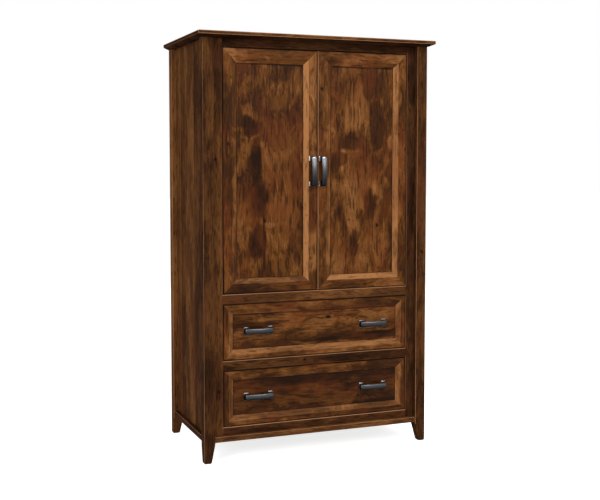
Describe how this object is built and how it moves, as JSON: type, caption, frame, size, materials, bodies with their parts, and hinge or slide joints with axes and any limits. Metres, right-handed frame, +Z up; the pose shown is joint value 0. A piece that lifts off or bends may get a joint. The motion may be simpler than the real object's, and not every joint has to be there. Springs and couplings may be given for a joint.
{
  "type": "tv armoire",
  "caption": "Tall wooden TV armoire: framed doors on pivot hinges over a shelved media space, full-width drawers on slides below, bow pulls, square tapered legs and a bevelled top.",
  "frame": {"origin": "on the floor, under the middle of the top panel", "axes": "+X to the right of a person facing the doors, +Y to the back, +Z up"},
  "size_m": [1.135, 0.617, 1.88],
  "materials": {
    "case_wood": "dark brown stained knotty hardwood under a satin lacquer, on the case",
    "front_wood": "dark brown stained knotty hardwood under a satin lacquer, a little warmer, on doors and drawers",
    "pale_drawer_wood": "clear-lacquered pale hardwood",
    "brown_back_board": "brown stained plywood, dull",
    "pewter_pull": "dark antique pewter, brushed and lacquered",
    "zinc_slide": "zinc-plated steel",
    "brass_hinge": "plain brass",
    "nickel_fitting": "nickel-plated steel",
    "brown_plastic": "brown moulded plastic"
  },
  "bodies": {
    "case": {"back_left_leg": "case_wood", "back_rails": "brown_back_board", "back_right_leg": "case_wood", "bottom_panel": "brown_back_board", "bottom_rail": "case_wood", "door_catches": "brown_plastic", "door_rail": "case_wood", "drawer_rail": "case_wood", "dust_panel": "brown_back_board", "front_base_moulding": "case_wood", "front_left_leg": "case_wood", "front_right_leg": "case_wood", "hinge_case_leaves": "brass_hinge", "left_base_moulding": "case_wood", "left_side_panel": "case_wood", "left_stile": "case_wood", "lower_back_panel": "brown_back_board", "right_base_moulding": "case_wood", "right_side_panel": "case_wood", "right_stile": "case_wood", "shelf_pins": "nickel_fitting", "slide_blocks": "pale_drawer_wood", "slide_case_members": "zinc_slide", "top_panel": "case_wood", "top_rail": "case_wood", "tv_deck": "case_wood", "tv_shelf": "case_wood", "upper_back_panel": "brown_back_board"},
    "left_door": {"left_door_bottom_rail": "front_wood", "left_door_hinge_leaves": "brass_hinge", "left_door_hinge_stile": "front_wood", "left_door_meeting_stile": "front_wood", "left_door_panel": "front_wood", "left_door_pull": "pewter_pull", "left_door_strike": "nickel_fitting", "left_door_top_rail": "front_wood"},
    "right_door": {"right_door_bottom_rail": "front_wood", "right_door_hinge_leaves": "brass_hinge", "right_door_hinge_stile": "front_wood", "right_door_meeting_stile": "front_wood", "right_door_panel": "front_wood", "right_door_pull": "pewter_pull", "right_door_strike": "nickel_fitting", "right_door_top_rail": "front_wood"},
    "upper_drawer": {"upper_drawer_bottom": "pale_drawer_wood", "upper_drawer_box": "pale_drawer_wood", "upper_drawer_front_frame": "front_wood", "upper_drawer_front_panel": "front_wood", "upper_drawer_pulls": "pewter_pull", "upper_drawer_slide_members": "zinc_slide"},
    "lower_drawer": {"lower_drawer_bottom": "pale_drawer_wood", "lower_drawer_box": "pale_drawer_wood", "lower_drawer_front_frame": "front_wood", "lower_drawer_front_panel": "front_wood", "lower_drawer_pulls": "pewter_pull", "lower_drawer_slide_members": "zinc_slide"},
    "upper_slide_middle": {"upper_slide_middle_members": "zinc_slide"},
    "lower_slide_middle": {"lower_slide_middle_members": "zinc_slide"}
  },
  "joints": [
    {"name": "left_door_hinge", "type": "hinge", "parent": "case", "child": "left_door", "pos_m": [-0.43, -0.2435, 1.28], "axis": [0, 0, -1], "range_deg": [0, 120]},
    {"name": "right_door_hinge", "type": "hinge", "parent": "case", "child": "right_door", "pos_m": [0.43, -0.2435, 1.28], "axis": [0, 0, 1], "range_deg": [0, 120]},
    {"name": "upper_drawer_slide", "type": "slide", "parent": "case", "child": "upper_drawer", "axis": [0, -1, 0], "range_m": [0, 0.4]},
    {"name": "upper_middle_slide", "type": "slide", "parent": "case", "child": "upper_slide_middle", "axis": [0, -1, 0], "range_m": [0, 0.2]},
    {"name": "lower_drawer_slide", "type": "slide", "parent": "case", "child": "lower_drawer", "axis": [0, -1, 0], "range_m": [0, 0.4]},
    {"name": "lower_middle_slide", "type": "slide", "parent": "case", "child": "lower_slide_middle", "axis": [0, -1, 0], "range_m": [0, 0.2]}
  ],
  "couplings": [
    {"joint": "upper_middle_slide", "follows": "upper_drawer_slide", "ratio": 0.5},
    {"joint": "lower_middle_slide", "follows": "lower_drawer_slide", "ratio": 0.5}
  ]
}
